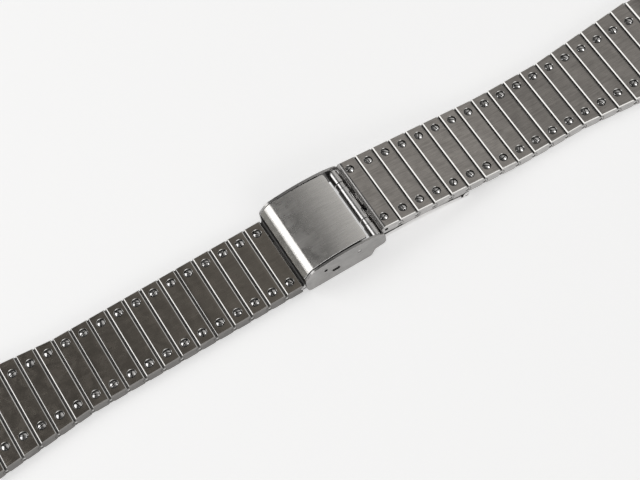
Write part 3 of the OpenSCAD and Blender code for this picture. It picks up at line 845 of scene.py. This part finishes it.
@dataclass
class Clasp:
    """The clasp's cover, frame, hinge pin and tongue.

    Attributes:
        wall_in: Distance of the frame's walls from the middle, in millimetres.
        wall_skin: Depth of a wall behind its inner face that is painted dark as shade, in millimetres.
        cover_low: Height above which the cover's front edge is seen, in millimetres.
        nose: How much of a face's direction points forwards where the nose begins.
        tongue_side: How much of it points up or down where the tongue's broad faces end.
        bend: Slopes in degrees at which the bend above the nose begins and ends.
        bend_end: Angle in degrees before its end up to which the bend is drawn out.
        longer: How much further down the nose the bend reaches, in millimetres.
        rear: Length of the cover's rear end that is drawn in, and by how much, in millimetres.
    """

    wall_in: float = 8.05
    wall_skin: float = 0.1
    cover_low: float = 4.75
    nose: float = 0.695
    tongue_side: float = 0.7
    bend: tuple[float, float] = (9.0, 45.0)
    bend_end: float = 0.5
    longer: float = 0.5
    rear: tuple[float, float] = (0.7, 0.25)

    def build(self, shop: Workshop) -> None:
        """Make the clasp.

        Args:
            shop: Where the pieces are made.
        """
        for number, shell in enumerate(shop.copy("clasp_cover")):
            self._lengthen_bend(shell)
            self._draw_in_rear(shell)
            steels = [LIT_COVER_TOP, LEAF_EDGE, SHADED_INSIDE, SHADED_COVER_NOSE]
            shop.finish(
                shell, f"clasp_cover_{number}", "clasp_cover", steels, self._cover_face, bevel=0.07,
                edge=LEAF_EDGE,
            )
        for number, shell in enumerate(shop.copy("clasp_channel")):
            steels = [CLASP_WALL, SHADED_INSIDE, CLASP_RIM]
            shop.finish(
                shell, f"clasp_frame_{number}", "clasp_channel", steels, self._wall_face, bevel=0.04,
                edge=CLASP_RIM,
            )
        for number, shell in enumerate(shop.copy("tongue")):
            shop.finish(shell, f"tongue_{number}", "tongue", [SHADED_TONGUE, PIN_END], self._tongue_face, bevel=0.05)
        for shell in shop.copy("clasp_hinge_pin"):
            shop.finish(shell, "clasp_hinge_pin_turned", "clasp_hinge_pin", [POLISHED])
        log.info("clasp: cover, frame, tongue and hinge pin")

    def _cover_face(self, centre: Vector, normal: Vector) -> Steel:
        """Tell the cover's brushed outside, painted lighter, its nose painted darker as shade, its pale edges and
        its inside, painted dark as shade, apart.

        Args:
            centre: Middle of a face, in millimetres.
            normal: Direction of the face.

        Returns:
            The face's finish.
        """
        if normal.z > SLANTED:
            return SHADED_COVER_NOSE if normal.x < -self.nose else LIT_COVER_TOP
        front_edge = normal.x < -SLANTED and centre.z > self.cover_low
        return LEAF_EDGE if abs(normal.y) > SQUARE or front_edge else SHADED_INSIDE

    def _wall_face(self, centre: Vector, normal: Vector) -> Steel:
        """Tell the frame's satin outside, paler rim and inside, painted dark as shade, apart.

        Args:
            centre: Middle of a face, in millimetres.
            normal: Direction of the face.

        Returns:
            The face's finish.
        """
        if abs(centre.y) > self.wall_in and normal.z > LEANING:
            return CLASP_RIM
        outside = abs(normal.y) > SQUARE and abs(centre.y) > self.wall_in + self.wall_skin
        return CLASP_WALL if outside else SHADED_INSIDE

    def _tongue_face(self, _centre: Vector, normal: Vector) -> Steel:
        """The tongue's broad faces, painted dark as shade, and its brighter sides."""
        return SHADED_TONGUE if abs(normal.z) > self.tongue_side else PIN_END

    def _lengthen_bend(self, cover: bmesh.types.BMesh) -> None:
        """Draw the bend above the nose out along the nose's slope.

        Args:
            cover: The cover's shape.
        """
        first, last = self.bend
        way = Vector((-math.cos(math.radians(last)), 0.0, -math.sin(math.radians(last))))
        slopes = [(v, math.degrees(math.atan2(-v.normal.x, v.normal.z))) for v in cover.verts]
        for vertex, slope in slopes:
            if first < slope < last - self.bend_end and vertex.normal.z > 0.0:
                share = (slope - first) / (last - first)
                bmesh.ops.translate(cover, verts=[vertex], vec=way * (self.longer * MM * share**2))

    def _draw_in_rear(self, cover: bmesh.types.BMesh) -> None:
        """Widen the dark gap between the cover's rear end and the hinge.

        Args:
            cover: The cover's shape.
        """
        length, step = (value * MM for value in self.rear)
        start = max(v.co.x for v in cover.verts) - length
        for vertex in [v for v in cover.verts if v.co.x > start]:
            share = (vertex.co.x - start) / length
            bmesh.ops.translate(cover, verts=[vertex], vec=(-step * share, 0.0, 0.0))


@dataclass
class FoldedLeaves:
    """The two leaves of the folding clasp and the pins they turn on.

    Attributes:
        knuckle_r: Radius about the clasp's hinge within which a leaf is polished, in millimetres.
        shaded: How much of a knuckle face's direction points forwards where it is painted dark as shade.
        hinge: Where the clasp's hinge is, in millimetres.
    """

    knuckle_r: float = 1.2
    shaded: float = 0.74
    hinge: Vector = field(default_factory=lambda: hinge_place("clasp_open") / MM)

    def build(self, shop: Workshop) -> None:
        """Make the leaves.

        Args:
            shop: Where the pieces are made.
        """
        for node in ("outer_leaf", "inner_leaf"):
            for number, shell in enumerate(shop.copy(node)):
                steels = [LEAF_FACE, KNUCKLE, LEAF_EDGE, SHADED_INSIDE]
                shop.finish(
                    shell, f"{node}_{number}", node, steels, self._leaf_face, bevel=0.05, edge=LEAF_EDGE
                )
        for node in ("leaf_hinge_pin", "strap_hinge_pin"):
            for shell in shop.copy(node):
                shop.finish(shell, f"{node}_turned", node, [POLISHED])
        log.info("folded leaves and their pins")

    def _leaf_face(self, centre: Vector, normal: Vector) -> Steel:
        """Tell the knuckles, their fronts painted dark as shade, the brushed broad faces and the edges apart.

        Args:
            centre: Middle of a face, in millimetres.
            normal: Direction of the face.

        Returns:
            The face's finish.
        """
        if math.hypot(centre.x - self.hinge.x, centre.z - self.hinge.z) < self.knuckle_r:
            return SHADED_INSIDE if normal.x < -self.shaded else KNUCKLE
        return LEAF_FACE if abs(normal.z) > SQUARE else LEAF_EDGE


@dataclass
class SpringBar:
    """A spring bar: a barrel with a coil spring, wound in two halves, between two tips.

    Attributes:
        name: Which bar it is, as in the names of its nodes.
        turns: Turns of the coil spring.
        wire: Radius of the spring's wire, in millimetres.
        steps: Steps of one turn.
        sides: Sides of the wire.
        smooth: Angle in degrees up to which the wire's edges are shaded smooth.
    """

    name: str
    turns: int = 26
    wire: float = 0.075
    steps: int = 16
    sides: int = 8
    smooth: float = 80.0

    def build(self, shop: Workshop) -> None:
        """Make the barrel, the two tips and the two halves of the coil.

        Args:
            shop: Where the pieces are made.
        """
        for piece in ("barrel", "front_tip", "rear_tip"):
            node = f"{self.name}_{piece}"
            for shell in shop.copy(node):
                shop.finish(shell, f"{node}_turned", node, [POLISHED], bevel=0.02)
        node = f"{self.name}_spring"
        low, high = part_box(node)
        for end, way in (("front", -1.0), ("rear", 1.0)):
            wound = self._coil(low, high, way)
            coil = shop.finish(wound, f"{node}_{end}_coil", node, [SPRING], bevel=0.0, angle=self.smooth)
            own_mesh(coil)
        log.info("%s with its coil spring", self.name)

    def _coil(self, low: Vector, high: Vector, way: float) -> bmesh.types.BMesh:
        """Wind one half of the coil spring, from the middle of the bar towards one tip.

        Args:
            low: Lowest corner of the room for the spring, in metres.
            high: Highest corner of that room, in metres.
            way: -1 for the front half or 1 for the rear half.

        Returns:
            The wound wire.
        """
        middle = (low + high) / 2
        wire = self.wire * MM
        radius = (high.x - low.x) / 2 - wire
        reach = (high.y - low.y) / 2 - 2 * wire
        turns = self.turns // 2
        steps = turns * self.steps
        coil = bmesh.new()
        ring = bmesh.ops.create_circle(coil, cap_ends=False, radius=wire, segments=self.sides)["verts"]
        start = Vector((middle.x + radius, middle.y + way * wire, middle.z))
        bmesh.ops.translate(coil, verts=ring, vec=start)
        bmesh.ops.spin(
            coil, geom=ring + list(coil.edges), cent=middle, axis=(0, 1, 0), angle=way * 2 * math.pi * turns,
            dvec=(0, way * reach / steps, 0), steps=steps, use_merge=False,
        )
        ends = [e for e in coil.edges if e.is_boundary]
        bmesh.ops.holes_fill(coil, edges=ends, sides=self.sides)
        bmesh.ops.recalc_face_normals(coil, faces=coil.faces)
        # The wound faces come in a new order each run, so they are put in the order of their corners.
        coil.verts.index_update()
        wound = sorted(coil.faces, key=lambda face: sorted(corner.index for corner in face.verts))
        places = {face: place for place, face in enumerate(wound)}
        coil.faces.sort(key=places.get)
        return coil


@dataclass
class StrapEnd:
    """The end piece that fits between the watch case's lugs, with its spring bar.

    Attributes:
        half: The half of the strap that it ends.
    """

    half: Half

    def build(self, shop: Workshop) -> None:
        """Make the end piece and its bar.

        Args:
            shop: Where the pieces are made.
        """
        node = f"{self.half.value}_end_piece"
        steels = [link_top(0.0, self.half), link_side(0.0, self.half), LINK_EDGE]
        for shell in shop.copy(node):
            shop.finish(shell, f"{node}_cast", node, steels, self._end_face, bevel=0.06, edge=LINK_EDGE)
        log.info("%s end piece", self.half.value)
        SpringBar(f"{self.half.value}_lug_bar").build(shop)

    def _end_face(self, _centre: Vector, normal: Vector) -> Steel:
        """Tell the end piece's brushed top, satin sides and polished rest apart.

        Args:
            _centre: Middle of a face, which isn't needed.
            normal: Direction of the face.

        Returns:
            The face's finish.
        """
        if normal.z > SQUARE:
            return link_top(0.0, self.half)
        return link_side(0.0, self.half) if abs(normal.y) > SQUARE else LINK_EDGE


# The studio


@dataclass(frozen=True)
class Lamp:
    """A soft lamp that shines at the middle of the bracelet.

    Attributes:
        name: Its name.
        towards: Direction from the bracelet to the lamp.
        distance: Distance from the bracelet in metres.
        size: Width and height in metres.
        glow: Brightness of its face, where 1 is white.
    """

    name: str
    towards: tuple[float, float, float]
    distance: float
    size: tuple[float, float]
    glow: float

    def build(self) -> None:
        """Place the lamp."""
        light = bpy.data.lights.new(self.name, "AREA")
        light.shape = "RECTANGLE"
        light.size, light.size_y = self.size
        light.energy = self.glow * math.pi * self.size[0] * self.size[1]
        lamp = bpy.data.objects.new(self.name, light)
        direction = Vector(self.towards).normalized()
        lamp.location = direction * self.distance
        lamp.rotation_euler = direction.to_track_quat("Z", "Y").to_euler()
        bpy.context.scene.collection.objects.link(lamp)


@dataclass(frozen=True)
class PaleSide:
    """A side of the room that is paler than the rest.

    Attributes:
        towards: Direction of its middle.
        full: Angle in degrees from its middle within which it is full.
        gone: Angle in degrees from its middle beyond which it is gone.
        level: The level that it adds to the room's light.
    """

    towards: tuple[float, float, float]
    full: float
    gone: float
    level: float


@dataclass
class Studio:
    """The table, the light and the camera of the photograph.

    Attributes:
        picture_px: Width of the picture in pixels.
        lens_px: Focal length in pixels of that picture.
        sensor: Width of the camera's sensor in millimetres.
        near_clip: Distance in metres from which the camera sees.
        place: The camera's place in metres.
        right: Direction to the right of the picture.
        down: Direction to the foot of the picture.
        ahead: Direction in which the camera looks.
        lamps: The soft lamps.
        room: The paler sides of the room.
        dim: Level of the room's light elsewhere.
        room_colour: Colour of the room's light.
        table_size: Half the length of the table's sides, in metres.
        table_white: Level of the table's white.
        table_roughness: Roughness of the table.
        table_glow: What is added to that white where the camera or the steel sees it.
    """

    picture_px: float = 640.0
    lens_px: float = 1900.2
    sensor: float = 36.0
    near_clip: float = 0.01
    place: tuple[float, float, float] = (-0.0556, -0.159606, 0.301359)
    right: tuple[float, float, float] = (0.85564, -0.5055, -0.11112)
    down: tuple[float, float, float] = (-0.49261, -0.7295, -0.47451)
    ahead: tuple[float, float, float] = (0.1588, 0.46075, -0.87321)
    lamps: tuple[Lamp, ...] = (
        Lamp("window_left", (-0.67, 0.47, 0.6), 0.8, (0.62, 0.64), 1.6),
        Lamp("lamp_right", (0.62, -0.07, 0.78), 0.9, (0.22, 0.22), 3.0),
        Lamp("window_front", (0.1, -0.87, 0.46), 0.9, (0.8, 0.3), 1.0),
    )
    room: tuple[PaleSide, ...] = (
        PaleSide((0.75, 0.3, 0.6), 10.0, 52.0, 0.46),
        PaleSide((-0.87, 0.46, 0.1), 10.0, 35.0, 0.1),
        PaleSide((0.0, -0.9, 0.3), 20.0, 60.0, 0.4),
        PaleSide((0.0, 0.0, -1.0), 85.0, 95.0, 0.7),
    )
    dim: float = 0.08
    room_colour: Colour = (1.0, 0.99, 0.975)
    table_size: float = 2.0
    table_white: float = 0.92
    table_roughness: float = 0.7
    table_glow: float = 0.46

    def build(self) -> None:
        """Set up the camera, the lamps, the sky and the table."""
        self._camera()
        for lamp in self.lamps:
            lamp.build()
        self._sky()
        self._table()
        bpy.context.scene.view_settings.view_transform = "Standard"
        log.info("studio with %d lamps", len(self.lamps))

    def _camera(self) -> None:
        """Stand the camera where the photograph was taken."""
        data = bpy.data.cameras.new("camera")
        data.sensor_fit = "HORIZONTAL"
        data.sensor_width = self.sensor
        data.lens = self.lens_px * data.sensor_width / self.picture_px
        data.clip_start = self.near_clip
        camera = bpy.data.objects.new("camera", data)
        axes = [Vector(self.right), -Vector(self.down), -Vector(self.ahead)]
        turned = Matrix([[a[i] for a in axes] for i in range(3)]).to_4x4()
        camera.matrix_world = Matrix.Translation(Vector(self.place)) @ turned
        bpy.context.scene.collection.objects.link(camera)
        bpy.context.scene.camera = camera

    def _sky(self) -> None:
        """Surround the table with a dim room that is paler on some sides."""
        world = bpy.data.worlds.new("room")
        world.use_nodes = True
        tree = world.node_tree
        link = tree.links.new
        place = add_node(tree, "ShaderNodeTexCoord")
        total = add_node(tree, "ShaderNodeValue").outputs[0]
        total.default_value = self.dim
        for side in self.room:
            middle = {1: Vector(side.towards).normalized()}
            angle = add_node(tree, "ShaderNodeVectorMath", middle, operation="DOT_PRODUCT")
            link(place.outputs["Generated"], angle.inputs[0])
            gone, full = (math.cos(math.radians(a)) for a in (side.gone, side.full))
            levels = {"From Min": gone, "From Max": full, "To Max": side.level}
            fade = add_node(tree, "ShaderNodeMapRange", levels, interpolation_type="SMOOTHSTEP")
            link(angle.outputs["Value"], fade.inputs["Value"])
            add = add_node(tree, "ShaderNodeMath", operation="ADD")
            link(total, add.inputs[0])
            link(fade.outputs["Result"], add.inputs[1])
            total = add.outputs[0]
        background = tree.nodes["Background"]
        link(total, background.inputs["Strength"])
        background.inputs["Color"].default_value = (*self.room_colour, 1.0)
        bpy.context.scene.world = world

    def _table(self) -> None:
        """Lay the white table under the bracelet."""
        sheet = bmesh.new()
        bmesh.ops.create_grid(sheet, x_segments=1, y_segments=1, size=self.table_size)
        data = bpy.data.meshes.new("table")
        sheet.to_mesh(data)
        sheet.free()
        table = bpy.data.objects.new("table", data)
        bpy.context.scene.collection.objects.link(table)
        material = bpy.data.materials.new("white_table")
        material.use_nodes = True
        tree = material.node_tree
        link = tree.links.new
        shader = tree.nodes["Principled BSDF"]
        shader.inputs["Base Color"].default_value = (*[self.table_white] * 3, 1.0)
        shader.inputs["Roughness"].default_value = self.table_roughness
        white = add_node(tree, "ShaderNodeEmission", {"Color": (1.0, 1.0, 1.0, 1.0)})
        path = add_node(tree, "ShaderNodeLightPath")
        seen = add_node(tree, "ShaderNodeMath", operation="MAXIMUM")
        link(path.outputs["Is Camera Ray"], seen.inputs[0])
        link(path.outputs["Is Glossy Ray"], seen.inputs[1])
        part = add_node(tree, "ShaderNodeMath", {1: self.table_glow}, operation="MULTIPLY")
        link(seen.outputs[0], part.inputs[0])
        link(part.outputs[0], white.inputs["Strength"])
        both = add_node(tree, "ShaderNodeAddShader")
        link(shader.outputs["BSDF"], both.inputs[0])
        link(white.outputs["Emission"], both.inputs[1])
        link(both.outputs["Shader"], tree.nodes["Material Output"].inputs["Surface"])
        data.materials.append(material)


def main() -> None:
    """Build the studio and the bracelet."""
    logging.basicConfig(level=logging.INFO, format="%(message)s")
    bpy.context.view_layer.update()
    Studio().build()
    shop = Workshop(Finishes())
    for half in Half:
        StrapHalf(half).build(shop)
        StrapEnd(half).build(shop)
    Clasp().build(shop)
    FoldedLeaves().build(shop)
    SpringBar("adjuster_bar", turns=30, wire=0.06).build(shop)
    log.info("%d pieces made", shop.made)


if __name__ == "__main__":
    main()
